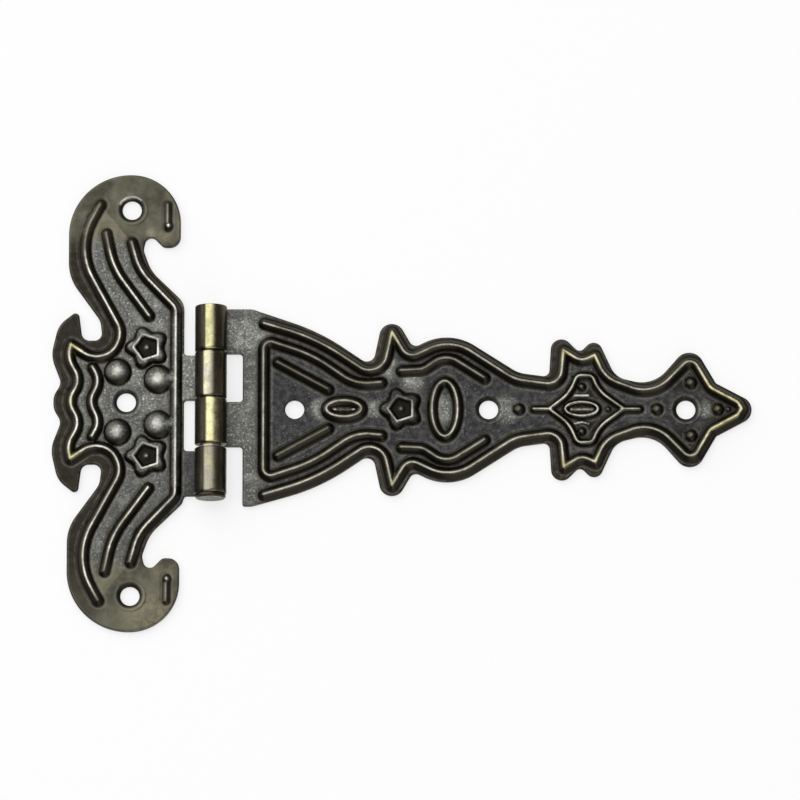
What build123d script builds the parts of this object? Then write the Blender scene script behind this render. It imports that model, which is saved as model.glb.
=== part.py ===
from build123d import *
import os
from math import asin, ceil, cos, radians, sin, tan

os.makedirs("parts", exist_ok=True)

# Decorative strap hinge, in millimetres. It lies on its back: Z is up, X runs along the strap,
# the pin lies along Y above the origin, and the origin is on the back plane at the jamb plate's mid line.

# Sheet and embossing
sheet = 1.2
ridge_width = 2.7
crest_width = 0.7
ridge_height = 1.0
fine_ridge_width = 1.9
fine_crest_width = 0.5
fine_ridge_height = 0.75
ornament_slope = 45
groove_width = 1.3
groove_depth = 0.9
fine_groove_width = 0.9
fine_groove_depth = 0.7
bridge_width = 4.2
bridge_crest_width = 1.6
end_bevel = 0.3
bend_step = 20

# Barrel, with the strap's first and third knuckles and the jamb plate's second and fourth
knuckle_radius = 3.45
knuckle_length = 9.9
knuckle_gap = 0.3
wide_gap = 0.9
barrel_top = 20.5
seam_gap = 0.25
running_clearance = 0.05

# Pin
head_thickness = 0.85
head_gap = 0.15
head_inset = 0.15
pin_recess = 0.4
pin_chamfer = 0.3

# Room between the barrel and each leaf's edge, and how far a knuckle's tab runs on into its leaf
jamb_window = 2.35
strap_window = 3.35
tab_overlap = 1.5

# The strap's centre line lies below the jamb plate's mid line, and the root ends below that centre line
strap_drop = 1.6
strap_root_bottom = -21.2

# Screw holes
screw_hole_radius = 2.05
jamb_hole_x = -17.2
jamb_hole_y = 42.4
jamb_middle_hole_x = -18.2
strap_hole_xs = [18.0, 59.7, 102.1]

# Round bosses have a steep foot and a flatter crown
boss_foot = 0.6
foot_slope = 30
crown_slope = 62
dot_radius = 1.3
small_dot_radius = 0.9
dot_height = 0.7
dot_sides = 12
ball_height = 1.2
ball_sides = 16
ball_hollow_depth = 0.9
ball_hollow_inset = 1.0

# Flowers and ovals
flower_points = 5
petal_radius = 4.9
petal_hollow_radius = 3.7
flower_pit_radius = 2.3
flower_dot_radius = 0.9
pit_depth = 0.7
oval_wall = 1.9

# Values that follow
eye_radius = knuckle_radius - sheet
pin_radius = eye_radius - running_clearance
head_radius = knuckle_radius - head_inset
first_top = barrel_top
second_top = first_top - knuckle_length - knuckle_gap
third_top = second_top - knuckle_length - knuckle_gap
fourth_top = third_top - knuckle_length - wide_gap
barrel_bottom = fourth_top - knuckle_length
jamb_edge_x = -knuckle_radius - jamb_window
strap_edge_x = knuckle_radius + strap_window
strap_root_top = barrel_top + strap_drop
jamb_back = Plane.XY
jamb_front = jamb_back.offset(sheet)
strap_back = Plane((0, -strap_drop, 0))
strap_front = strap_back.offset(sheet)


def mirrored(path):
    """The same path on the other side of the leaf's centre line, run the other way."""
    return [((x, -y), radius) for (x, y), radius in reversed(path)]


def both_sides(paths):
    """Each path and its mirror image."""
    return paths + [mirrored(path) for path in paths]


# A path is a list of corner points, each with the radius that rounds it, or 0 where it is sharp.
# The strap's paths are measured from its own centre line.
rim_root = [((11.4, 18.8), 0), ((22.6, 15.4), 43), ((36.5, 6.1), 3.7), ((39.0, 16.8), 0)]
rim_waist = [((39.0, 16.8), 0), ((42.4, 11.0), 2.5), ((51.7, 15.4), 9.2), ((65.4, 6.4), 8.6),
             ((75.1, 5.1), 3.0), ((75.9, 12.8), 0)]
rim_crown = [((75.9, 12.8), 0), ((79.6, 10.4), 2.8), ((82.6, 11.7), 0)]
rim_leaf = [((82.6, 11.7), 0), ((84.9, 6.7), 6.4), ((95.0, 2.9), 7.5), ((103.4, 11.5), 1.8),
            ((107.4, 4.6), 2.4), ((113.3, 1.4), 1.6), ((114.1, 0), 0)]
rim_ridges = [rim_root + rim_waist[1:], rim_crown + rim_leaf[1:]]
triangle_side = [((36.6, 5.8), 0), ((31.2, 5.3), 9), ((21.8, 11.8), 30), ((11.3, 15.3), 1.6)]
triangle = triangle_side + mirrored(triangle_side)
bar = [((14.4, 10.2), 0), ((25.2, 4.3), 0)]
hump = [((40.9, 8.4), 0), ((45.6, 8.6), 4), ((50.6, 12.0), 4.5), ((58.8, 6.8), 0)]
rhombus = [((72.7, 0), 0), ((77.0, 3.3), 8), ((78.8, 7.4), 1.3), ((82.0, 7.3), 1.3),
           ((83.4, 3.9), 8), ((88.8, 0), 0)]
spears = [[((69.4, 0), 0), ((73.2, 0), 0)], [((88.3, 0), 0), ((92.1, 0), 0)]]
strap_dots = [(66.2, 0), (95.9, 0), (103.2, 5.8), (103.2, -5.8), (109.0, 0)]
rhombus_dots = [(79.7, 4.9), (79.7, -4.9)]
strap_ovals = [((28.6, 0), 5.2, 3.2), ((50.3, 0), 3.9, 7.2), ((79.7, 0), 4.2, 2.2)]
strap_flower = (40.9, 0)
strap_tip = ((119.5, 0), 2.9)
strap_root_upper = [((strap_edge_x, strap_root_top), 0), ((8.8, strap_root_top), 3)]
strap_root_lower = [((8.8, strap_root_bottom), 3), ((strap_edge_x, strap_root_bottom), 0)]
strap_side_outline = [
    ((23.4, 17.1), 45),
    ((34.7, 9.4), 1.8),
    ((37.7, 23.6), 2.7),
    ((43.5, 13.6), 1.5),
    ((51.4, 17.5), 11),
    ((66.1, 8.1), 7),
    ((72.7, 7.2), 1.3),
    ((73.4, 18.4), 2.3),
    ((79.3, 12.5), 1.2),
    ((82.9, 16.1), 1.9),
    ((87.0, 7.2), 4.5),
    ((95.0, 5.2), 7),
    ((103.4, 14.8), 3.2),
    ((108.6, 5.8), 0.9),
]
strap_outline = (strap_root_upper + strap_side_outline + [strap_tip] + mirrored(strap_side_outline)
                 + strap_root_lower)

# The jamb plate's paths are measured from its mid line.
wing_tip = (-30.1, 12.5)
neck = [((-24.0, 43.5), 0), ((-29.2, 33.9), 14), ((-19.1, 15.2), 4.8), ((-21.2, 10.3), 4.6),
        ((-25.8, 9.6), 5), (wing_tip, 0)]
outer_side = [(wing_tip, 0), ((-30.8, 9.6), 5), ((-28.0, 4.5), 4.2)]
outer_wave = outer_side + [((-30.9, 0), 4.2)] + mirrored(outer_side)
inner_side = [((-25.5, 7.6), 0), ((-23.9, 4.6), 4)]
inner_wave = inner_side + [((-26.1, 0), 4)] + mirrored(inner_side)
feather = [((-22.7, 37.1), 0), ((-21.2, 29.6), 18), ((-13.4, 18.9), 0)]
throat_side = [((-17.2, 35.1), 0), ((-15.5, 28.9), 12), ((-7.6, 20.6), 2.5)]
throat = throat_side + mirrored(throat_side)
eye = [((-9.5, 43.5), 0), ((-9.5, 38.4), 0)]
bridge = [((-11.4, 5.0), 0), ((-8.3, 5.0), 0)]
balls = [((-20.1, 6.6), 3.0), ((-11.4, 5.0), 3.2)]
jamb_flower = (-13.8, 11.9)

jamb_half_outline = [
    ((-33.9, 1.4), 4),
    ((-32.2, 4.2), 2.4),
    ((-34.5, 10.2), 7),
    ((-32.9, 17.0), 5.5),
    ((-28.6, 20.4), 0.9),
    ((-27.7, 13.6), 1.7),
    ((-23.4, 13.6), 1.6),
    ((-23.9, 18.0), 4),
    ((-30.8, 27.6), 10),
    ((-30.8, 50.2), 13.3),
    ((-6.65, 50.2), 10.7),
    ((-6.65, 34.2), 2.4),
    ((-10.3, 34.1), 1.5),
    ((-13.7, 37.6), 1.4),
    ((-14.7, 33.6), 2.5),
    ((-13.0, 28.9), 9),
    ((jamb_edge_x, 21.9), 4),
]


def filled(corners, plane):
    """A closed outline from corner points, each corner rounded by its radius."""
    with BuildSketch(plane) as sketch:
        with BuildLine():
            FilletPolyline(*[point for point, radius in corners],
                           radius=[radius for point, radius in corners], close=True)
        make_face()
    return sketch.sketch


def left_of(heading):
    """The direction square to a heading, on its left."""
    return Vector(-heading.Y, heading.X)


def end_corners(point, outward, width):
    """The four corners of a band's end, which has its outer corners cut off."""
    half = width / 2
    cut = end_bevel * width
    side = left_of(outward)
    shoulder = point + outward * cut
    corners = [point - side * half, shoulder - side * (half - cut), shoulder + side * (half - cut),
               point + side * half]
    return [(corner, 0) for corner in corners]


def ridge_outline(path, width):
    """The corners of a band with parallel sides along a path."""
    half = width / 2
    points = [Vector(*point) for point, radius in path]
    headings = [(after - before).normalized() for before, after in zip(points, points[1:])]
    left = []
    right = []
    for point, before, after, (corner, radius) in zip(points[1:], headings, headings[1:], path[1:]):
        mitre = (left_of(before) + left_of(after)) * (half / (1 + before.dot(after)))
        turns_left = before.cross(after).Z > 0
        inner, outer = (left, right) if turns_left else (right, left)
        inward = 1 if turns_left else -1
        if radius > 0:
            inner.append((point + mitre * inward, radius - half))
            outer.append((point - mitre * inward, radius + half))
        else:
            inner.append((point + mitre * inward, 0))
            for direction in (left_of(before), mitre.normalized(), left_of(after)):
                outer.append((point - direction * inward * half, 0))
    start = end_corners(points[0], headings[0] * -1, width)
    finish = end_corners(points[-1], headings[-1], width)
    return start + right + finish + left[::-1]


def strip(path, width):
    """The points round a band along a path, whose bends are short flats of at most one bend step."""
    corners = ridge_outline(path, width)
    points = [point for point, radius in corners]
    outline = []
    for index, (point, radius) in enumerate(corners):
        if radius == 0:
            outline.append(point)
            continue
        before = (point - points[index - 1]).normalized()
        after = (points[(index + 1) % len(points)] - point).normalized()
        turn = before.get_signed_angle(after, Vector(0, 0, 1))
        flats = ceil(abs(turn) / bend_step)
        bend_start = point - before * radius * tan(radians(abs(turn) / 2))
        bend_center = bend_start + left_of(before) * (radius if turn > 0 else -radius)
        for flat in range(flats + 1):
            outline.append(bend_center + (bend_start - bend_center).rotate(Axis.Z, turn * flat / flats))
    return outline


def oval(center, half_length, half_width, plane):
    """An ellipse at a place on a leaf."""
    with BuildSketch(plane) as sketch:
        with Locations(center):
            Ellipse(half_length, half_width)
    return sketch.sketch


def polygon(center, radius, sides, plane):
    """A regular polygon with one corner pointing back along the strap."""
    with BuildSketch(plane) as sketch:
        with Locations(center):
            RegularPolygon(radius, sides, rotation=180)
    return sketch.sketch


def star(center, plane):
    """The outline of a flower, with its first petal pointing back along the strap."""
    corners = []
    for step in range(2 * flower_points):
        radius = petal_hollow_radius if step % 2 else petal_radius
        angle = radians(180 + 180 * step / flower_points)
        corners.append((center[0] + radius * cos(angle), center[1] + radius * sin(angle)))
    with BuildSketch(plane) as sketch:
        Polygon(*corners, align=None)
    return sketch.sketch


def emboss(paths, foot, crest, height, hollow, depth, front, back):
    """Ridges along paths, sloped from foot to crest, and the grooves that pressing leaves in the back."""
    ridges = []
    for path in paths:
        low = [front.from_local_coords(point) for point in strip(path, foot)]
        high = [front.offset(height).from_local_coords(point) for point in strip(path, crest)]
        walls = [[low[index - 1], low[index], high[index], high[index - 1]] for index in range(len(low))]
        ridges.append(Solid(Shell([Face(Wire.make_polygon(corners)) for corners in walls + [low, high]])))
    add(ridges)
    with BuildSketch(back) as grooves:
        for path in paths:
            with BuildLine():
                Polyline(*strip(path, hollow), close=True)
            make_face()
    extrude(grooves.sketch, amount=depth, mode=Mode.SUBTRACT)


def boss(center, radius, height, sides, front):
    """A low round boss."""
    foot = boss_foot * height
    crown_radius = radius - foot * tan(radians(foot_slope))
    extrude(polygon(center, radius, sides, front), amount=foot, taper=foot_slope)
    crown = polygon(center, crown_radius, sides, front.offset(foot))
    extrude(crown, amount=height - foot, taper=crown_slope)


def flower(center, front):
    """A five-petalled flower with a pit and a dot at its middle."""
    floor = front.offset(ridge_height - pit_depth)
    extrude(star(center, front), amount=ridge_height, taper=ornament_slope)
    extrude(polygon(center, flower_pit_radius, flower_points, floor), amount=pit_depth, mode=Mode.SUBTRACT)
    extrude(polygon(center, flower_dot_radius, flower_points, floor), amount=pit_depth / 2)


def ring(center, half_length, half_width, front):
    """A raised oval ring."""
    extrude(oval(center, half_length, half_width, front), amount=ridge_height, taper=ornament_slope)
    pit = oval(center, half_length - oval_wall, half_width - oval_wall, front)
    extrude(pit, amount=ridge_height, mode=Mode.SUBTRACT)


def knuckle(top, edge):
    """A sheet end rolled up from the back plane, on a tab that runs to the leaf's edge and into it."""
    side = 1 if edge > 0 else -1
    tab_end = edge + side * tab_overlap
    seam = asin((knuckle_radius - sheet - seam_gap) / knuckle_radius)
    far = 2 * knuckle_radius
    with BuildSketch(Plane.XZ.offset(-top)) as sketch:
        with Locations((0, knuckle_radius)):
            Circle(knuckle_radius)
            Circle(eye_radius, mode=Mode.SUBTRACT)
        with BuildLine():
            Polyline((0, knuckle_radius), (side * far * cos(seam), knuckle_radius - far * sin(seam)),
                     (side * far, -knuckle_radius), (0, -knuckle_radius), close=True)
        make_face(mode=Mode.SUBTRACT)
        with BuildLine():
            Polyline((0, 0), (tab_end, 0), (tab_end, sheet), (0, sheet), close=True)
        make_face()
    extrude(sketch.sketch, amount=knuckle_length)


with BuildPart() as jamb_plate:
    extrude(filled(jamb_half_outline + mirrored(jamb_half_outline), jamb_back), amount=sheet)
    for top in (second_top, fourth_top):
        knuckle(top, jamb_edge_x)
    emboss(both_sides([neck, feather]) + [outer_wave, inner_wave, throat],
           ridge_width, crest_width, ridge_height, groove_width, groove_depth, jamb_front, jamb_back)
    emboss(both_sides([eye]),
           fine_ridge_width, fine_crest_width, fine_ridge_height, fine_groove_width, fine_groove_depth,
           jamb_front, jamb_back)
    emboss(both_sides([bridge]),
           bridge_width, bridge_crest_width, ridge_height, groove_width, groove_depth, jamb_front, jamb_back)
    for side in (1, -1):
        flower((jamb_flower[0], side * jamb_flower[1]), jamb_front)
        for (x, y), radius in balls:
            center = (x, side * y)
            boss(center, radius, ball_height, ball_sides, jamb_front)
            hollow = polygon(center, radius - ball_hollow_inset, ball_sides, jamb_back)
            extrude(hollow, amount=ball_hollow_depth, mode=Mode.SUBTRACT)
    with BuildSketch(jamb_back):
        with Locations((jamb_hole_x, jamb_hole_y), (jamb_middle_hole_x, 0), (jamb_hole_x, -jamb_hole_y)):
            Circle(screw_hole_radius)
    extrude(amount=sheet + ridge_height, mode=Mode.SUBTRACT)

with BuildPart() as strap:
    extrude(filled(strap_outline, strap_back), amount=sheet)
    for top in (first_top, third_top):
        knuckle(top, strap_edge_x)
    emboss(both_sides(rim_ridges + [bar, hump]) + [triangle],
           ridge_width, crest_width, ridge_height, groove_width, groove_depth, strap_front, strap_back)
    emboss(both_sides([rhombus]) + spears,
           fine_ridge_width, fine_crest_width, fine_ridge_height, fine_groove_width, fine_groove_depth,
           strap_front, strap_back)
    for center, half_length, half_width in strap_ovals:
        ring(center, half_length, half_width, strap_front)
    flower(strap_flower, strap_front)
    for center in strap_dots:
        boss(center, dot_radius, dot_height, dot_sides, strap_front)
    for center in rhombus_dots:
        boss(center, small_dot_radius, dot_height, dot_sides, strap_front)
    with BuildSketch(strap_back):
        with Locations(*[(x, 0) for x in strap_hole_xs]):
            Circle(screw_hole_radius)
    extrude(amount=sheet + ridge_height, mode=Mode.SUBTRACT)

with BuildPart() as hinge_pin:
    with BuildSketch(Plane.XZ.offset(pin_recess - barrel_top)):
        with Locations((0, knuckle_radius)):
            Circle(pin_radius)
    extrude(amount=barrel_top - pin_recess - barrel_bottom + head_gap)
    chamfer(hinge_pin.faces().sort_by(Axis.Y)[-1].edges(), pin_chamfer)
    with BuildSketch(Plane.XZ.offset(head_gap - barrel_bottom)):
        with Locations((0, knuckle_radius)):
            Circle(head_radius)
    extrude(amount=head_thickness)
    chamfer(hinge_pin.faces().sort_by(Axis.Y)[0].edges(), pin_chamfer)

jamb_plate.part.label = "jamb_plate"
strap.part.label = "strap"
hinge_pin.part.label = "hinge_pin"

export_step(jamb_plate.part, "parts/jamb_plate.step")
export_step(strap.part, "parts/strap.step")
export_step(hinge_pin.part, "parts/hinge_pin.step")
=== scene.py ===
"""Decorative strap hinge. Lengths are in millimetres until a mesh is made."""
import math

import bmesh
import bpy
import numpy as np
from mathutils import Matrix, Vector
from mathutils.geometry import delaunay_2d_cdt


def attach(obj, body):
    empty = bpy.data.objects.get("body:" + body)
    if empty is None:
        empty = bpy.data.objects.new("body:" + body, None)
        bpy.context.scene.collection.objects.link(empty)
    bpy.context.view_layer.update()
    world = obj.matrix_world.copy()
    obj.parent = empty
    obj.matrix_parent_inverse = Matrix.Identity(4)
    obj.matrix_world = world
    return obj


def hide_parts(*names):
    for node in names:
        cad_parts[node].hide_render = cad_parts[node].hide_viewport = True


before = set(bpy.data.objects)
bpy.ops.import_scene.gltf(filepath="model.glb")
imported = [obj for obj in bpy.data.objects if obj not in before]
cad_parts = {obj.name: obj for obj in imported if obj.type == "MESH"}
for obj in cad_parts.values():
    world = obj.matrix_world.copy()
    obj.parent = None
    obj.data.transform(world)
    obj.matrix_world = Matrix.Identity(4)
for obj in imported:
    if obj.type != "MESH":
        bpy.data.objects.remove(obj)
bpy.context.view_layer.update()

MM = 0.001

# Sheet and mesh
SHEET = 1.2
FRONT_GRID = 0.24
BACK_GRID = 0.5
EDGE_SPACING = 0.24
ARC_SPACING = 0.3
ARC_STEPS = 4
EDGE_ROUND = 0.4
BACK_EDGE_ROUND = 0.15
EDGE_RINGS = (0.06, 0.16, 0.3)
RING_CLEARANCE = 0.93
SHARP_ANGLE = math.radians(50)
MERGE = 0.04
MESH_TOLERANCE = 1e-5
LINE_REACH = 4.0
EDGE_REACH = 1.0
FAR = 1e3

# Ridges. A pair is the two ends of a smooth step: none at the first value, all at the second.
RIDGE_HALF = 1.35
RIDGE_HEIGHT = 1.0
RIDGE_ROUND = 0.55
RIDGE_POINTED = 0.45
RIDGE_TOP = (0.82, 0.25)
FINE_HALF = 0.95
FINE_HEIGHT = 0.75
EYE_HEIGHT = 0.5
CURL_RADIUS = 0.95
CURL_HEIGHT = 0.95
BRIDGE_HALF = 2.1
BRIDGE_TOP = (0.9, 0.4)
BRIDGE_PALE = 0.8
BALL_TOP = (0.95, 0.3)
PALE_TOP = (1.0, 0.5)
DOME_POWER = 0.7
DOME_TOP = (0.5, 0.1)
MOAT_DEPTH = 0.1
MOAT_WIDTH = 0.3
PRESS_DEPTH = 0.85
PRESS_START = 0.12
PRESS_EDGE = (0.1, 0.5)
CREST_REACH = 0.27
CREST_CORE = 0.04
BRASSY_SPREAD = 0.9
SPOT_CORE = 0.25

# How bright the crests are rubbed, and where they are duller. The glint's share is a painted
# highlight over the upper hole, and the upper side's dulling is painted shade on the strap.
RIM_WEAR = 0.9
TRIANGLE_WEAR = 0.65
HUMP_WEAR = 0.45
BAR_WEAR = 0.12
MARK_WEAR = 1.4
DOT_WEAR = 0.2
GLINT_BRIGHTNESS = 0.9
EYE_WEAR = 0.25
CURL_WEAR = 1.0
BALL_WEAR = 0.5
UPPER_PAINTED_SHADE = 0.3
HEAD_DULL = 0.8

# Barrel
KNUCKLE_RADIUS = 3.45
KNUCKLE_LENGTH = 9.9
KNUCKLE_GAP = 0.3
WIDE_GAP = 0.9
BARREL_TOP = 20.5
SEAM_GAP = 0.25
FIRST_TOP = BARREL_TOP
SECOND_TOP = FIRST_TOP - KNUCKLE_LENGTH - KNUCKLE_GAP
THIRD_TOP = SECOND_TOP - KNUCKLE_LENGTH - KNUCKLE_GAP
FOURTH_TOP = THIRD_TOP - KNUCKLE_LENGTH - WIDE_GAP
SEAM_ANGLE = math.asin((KNUCKLE_RADIUS - SHEET - SEAM_GAP) / KNUCKLE_RADIUS)
ROLL_LENGTH = KNUCKLE_RADIUS * (1.5 * math.pi + SEAM_ANGLE)
PIN_HEAD_GAP = 0.05
PIN_HEAD_TOP = FOURTH_TOP - KNUCKLE_LENGTH - PIN_HEAD_GAP
PIN_HEAD_BLEND = 0.1
# The painted highlight band along the barrel, in radians from its top towards the strap
BAND_START = -0.38
BAND_END = -0.2
BAND_RISE = 0.14
BAND_FALL = 0.48
LOWER_SPREAD = 1.36
FRONT_LEAN = math.pi

# The leaves' roots, where the tabs of the knuckles leave them
JAMB_EDGE = -5.8
JAMB_SHOULDER = 21.9
JAMB_UPPER_ROUND = 4
JAMB_LOWER_ROUND = 2.6
STRAP_EDGE = 6.8
STRAP_DROP = 1.6
STRAP_SHOULDER = 8.8
STRAP_SHOULDER_ROUND = 3
STRAP_ROOT_BOTTOM = -21.2
STRAP_ROOT_ROUND = 0.5
WINDOW_CORNER = 0.7
TAB_CORNER = 0.15

# Screw holes, and the thin painted highlight arc at the upper one
HOLE_RADIUS = 2.05
HOLE_POINTS = 52
HOLE_ROUND = 0.2
DISH_WIDTH = 0.8
DISH_POWER = 1.5
DISH_LIP = 0.25
DISH_LIP_LINE = (1.1, 0.25)
GLINT_RADIUS = 2.8
GLINT_SPAN = slice(13, 42)
GLINT_HALF = 0.3
GLINT_HEIGHT = 0.12

# Flowers
PETALS = 5
PETAL_RADIUS = 4.9
PETAL_HOLLOW_RADIUS = 3.7
PETAL_SLOPE = 1.2
PETAL_PLAIN = (0.25, 0.9)
FLOWER_CREST_RADIUS = 2.9
FLOWER_CREST = (0.3, 0.05)
FLOWER_CREST_DEPTH = 0.3
PIT_WALL = 0.75
PIT_DEPTH = 0.7
PIT_OUTSIDE = (0.1, -0.1)
PIT_INSIDE = (0.1, 0.45)
FLOWER_DOT_RADIUS = 0.95
FLOWER_DOT_CORE = 0.5
FLOWER_DOT_HEIGHT = 0.6
FLOWER_DOT_WEAR = 0.35
FLOWER_DOT_LIGHT = 0.75


def mirrored(path):
    """The same path on the other side of the leaf's centre line, run the other way."""
    return [((x, -y), radius) for (x, y), radius in reversed(path)]


def both_sides(paths):
    """Each path and its mirror image."""
    return paths + [mirrored(path) for path in paths]


# A path is a list of corner points, each with the radius that rounds it, or 0 where it is sharp.
rim_root = [((11.4, 18.8), 0), ((22.6, 15.4), 43), ((36.5, 6.1), 3.7), ((39.0, 16.8), 0)]
rim_waist = [((39.0, 16.8), 0), ((42.4, 11.0), 2.5), ((51.7, 15.4), 9.2), ((65.4, 6.4), 8.6),
             ((75.1, 5.1), 3.0), ((75.9, 12.8), 0)]
rim_crown = [((75.9, 12.8), 0), ((79.6, 10.4), 2.8), ((82.6, 11.7), 0)]
rim_leaf = [((82.6, 11.7), 0), ((84.9, 6.7), 6.4), ((95.0, 2.9), 7.5), ((103.4, 11.5), 1.8),
            ((107.4, 4.6), 2.4), ((113.3, 1.4), 1.6), ((114.1, 0), 0)]
rim_side = rim_root + rim_waist[1:] + rim_crown[1:] + rim_leaf[1:]
rim = rim_side + mirrored(rim_side)[1:]
triangle_side = [((36.6, 5.8), 0), ((31.2, 5.3), 9), ((21.8, 11.8), 30), ((11.3, 15.3), 1.6)]
triangle = triangle_side + mirrored(triangle_side)
bar = [((14.4, 10.2), 0), ((25.2, 4.3), 0)]
hump = [((40.9, 8.4), 0), ((45.6, 8.6), 4), ((50.6, 12.0), 4.5), ((58.8, 6.8), 0)]
rhombus = [((72.7, 0), 0), ((77.0, 3.3), 8), ((78.8, 7.4), 1.3), ((82.0, 7.3), 1.3),
           ((83.4, 3.9), 8), ((88.8, 0), 0)]
spears = [[((69.4, 0), 0), ((73.2, 0), 0)], [((88.3, 0), 0), ((92.1, 0), 0)]]
# Slits and marks: path, half width and height
slits = [([((26.4, 0), 0), ((30.8, 0), 0)], 0.3, 0.2),
         ([((77.4, 0), 0), ((82.0, 0), 0)], 0.3, 0.2)]
marks = [([((78.2, 3.0), 0), ((81.2, 3.0), 0)], 0.4, 0.3),
         ([((78.2, -3.2), 0), ((79.7, -2.8), 0), ((81.2, -3.2), 0)], 0.4, 0.3)]
# Dots and balls: centre, radius and height
strap_dots = [((66.2, 0), 1.3, 0.7), ((95.9, 0), 1.3, 0.7), ((103.2, 5.8), 1.3, 0.7),
              ((103.2, -5.8), 1.3, 0.7), ((109.0, 0), 1.3, 0.7), ((79.7, 4.9), 0.9, 0.6),
              ((79.7, -4.9), 0.9, 0.6), ((85.4, 0), 0.6, 0.3), ((111.2, 0), 0.6, 0.3)]
# Ovals: centre, half length and half width, and the half width and height of their ridge
strap_ovals = [((28.6, 0), 3.76, 1.76, 1.4, 1.0), ((50.3, 0), 2.75, 6.05, 1.25, 1.0),
               ((79.7, 0), 3.5, 1.5, 0.8, 0.75)]
# Holes: centre, and the depth of the dish round it
strap_holes = [((18.0, 0), 0.03), ((59.7, 0), 0.3), ((102.1, 0), 0.4)]
strap_flowers = [(40.9, 0)]
strap_tip = ((119.5, 0), 2.9)
strap_side_outline = [
    ((23.4, 17.1), 45), ((34.7, 9.4), 1.8), ((37.7, 23.6), 2.7), ((43.5, 13.6), 1.5),
    ((51.4, 17.5), 11), ((66.1, 8.1), 7), ((72.7, 7.2), 1.3), ((73.4, 18.4), 2.3),
    ((79.3, 12.5), 1.2), ((82.9, 16.1), 1.9), ((87.0, 7.2), 4.5), ((95.0, 5.2), 7),
    ((103.4, 14.8), 3.2), ((108.6, 5.8), 0.9)]

wing_tip = (-30.1, 12.5)
neck = [((-24.0, 43.5), 0), ((-29.2, 33.9), 14), ((-19.1, 15.2), 4.8), ((-21.2, 10.3), 4.6),
        ((-25.8, 9.6), 5), (wing_tip, 0)]
outer_side = [(wing_tip, 0), ((-30.8, 9.6), 5), ((-28.0, 4.5), 4.2)]
outer_wave = outer_side + [((-30.9, 0), 4.2)] + mirrored(outer_side)
inner_side = [((-25.5, 7.6), 0), ((-23.9, 4.6), 4)]
inner_wave = inner_side + [((-26.1, 0), 4)] + mirrored(inner_side)
feather = [((-22.7, 37.1), 0), ((-21.2, 29.6), 18), ((-13.4, 18.9), 0)]
throat_side = [((-17.2, 35.1), 0), ((-15.5, 28.9), 12), ((-7.6, 20.6), 2.5)]
throat = throat_side + mirrored(throat_side)
# Stretches of the ridges with pale tops: both ends and the share
pale_tops = [(((-7.6, 18.0), (-7.6, -18.0)), 0.85), (((-27.2, 37.6), (-24.6, 42.4)), 0.6)]
eye = [((-9.5, 43.5), 0), ((-9.5, 38.4), 0)]
eye_curls = [(-9.3, 38.8), (-9.3, -38.8)]
bridge = [((-11.4, 5.0), 0), ((-8.3, 5.0), 0)]
jamb_balls = [((-20.1, 6.6), 3.0, 1.2), ((-20.1, -6.6), 3.0, 1.2), ((-11.4, 5.0), 3.2, 1.2),
              ((-11.4, -5.0), 3.2, 1.2)]
jamb_flowers = [(-13.8, 11.9), (-13.8, -11.9)]
jamb_holes = [((-17.2, 42.4), 0.45), ((-18.2, 0), 0.4), ((-17.2, -42.4), 0.45)]
jamb_half = [
    ((-33.9, 1.4), 4), ((-32.2, 4.2), 2.4), ((-34.5, 10.2), 7), ((-32.9, 17.0), 5.5),
    ((-28.6, 20.4), 0.9), ((-27.7, 13.6), 1.7), ((-23.4, 13.6), 1.6), ((-23.9, 18.0), 4),
    ((-30.8, 27.6), 10), ((-30.8, 50.2), 13.3), ((-6.65, 50.2), 10.7), ((-6.65, 34.2), 2.4),
    ((-10.3, 34.1), 1.5), ((-13.7, 37.6), 1.4), ((-14.7, 33.6), 2.5), ((-13.0, 28.9), 9)]

# Places where the plating is rubbed pale or brassy: centre, radius and share. On the jamb, the spot
# at (-10.6, 35.2) is rubbed pale and strengthened into a painted highlight of the rounded chin
# edge, and the one at (-12.9, 37.2) is a painted highlight.
strap_rubbed = [((23.8, 0), 3.2, 0.9), ((35.3, 0), 2.6, 0.7), ((38.6, 9.0), 3.2, 0.7),
                ((43.4, 6.3), 3.2, 0.95), ((63.4, 0), 4.0, 0.75), ((106.3, 0), 2.6, 0.6),
                ((8.0, 16.0), 6.0, 0.95), ((4.5, 17.0), 5.0, 0.9), ((50.3, 0), 4.0, 0.8)]
jamb_rubbed_and_highlit = [((-15.9, 5.2), 3.6, 1.0), ((-13.4, 0), 4.6, 0.85), ((-11.6, 17.2), 3.4, 0.9),
               ((-15.4, 22.4), 4.0, 0.7), ((-10.6, 35.2), 3.4, 1.0), ((-12.9, 37.2), 1.8, 1.0),
               ((-13.0, -47.0), 8.5, 0.7), ((-10.0, -36.5), 4.0, 0.6), ((-9.0, 45.5), 2.0, 0.4)]
strap_brassy = [((39.0, 16.8), 4.0, 0.8), ((39.0, -16.8), 4.0, 0.5), ((75.9, 12.8), 4.0, 0.9),
                ((75.9, -12.8), 4.0, 0.8), ((82.6, 11.7), 3.0, 0.7), ((82.6, -11.7), 3.0, 0.7),
                ((108.0, 0), 14.0, 0.9)]
jamb_brassy = [(wing_tip, 4.0, 1.0), ((wing_tip[0], -wing_tip[1]), 4.0, 1.0),
               ((-31.0, 0), 3.0, 0.7)]


def unit(vector):
    """The vector's direction, at length 1."""
    return vector / np.hypot(*vector)


def left(vector):
    """The vector turned a quarter to the left."""
    return np.array((-vector[1], vector[0]))


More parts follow.
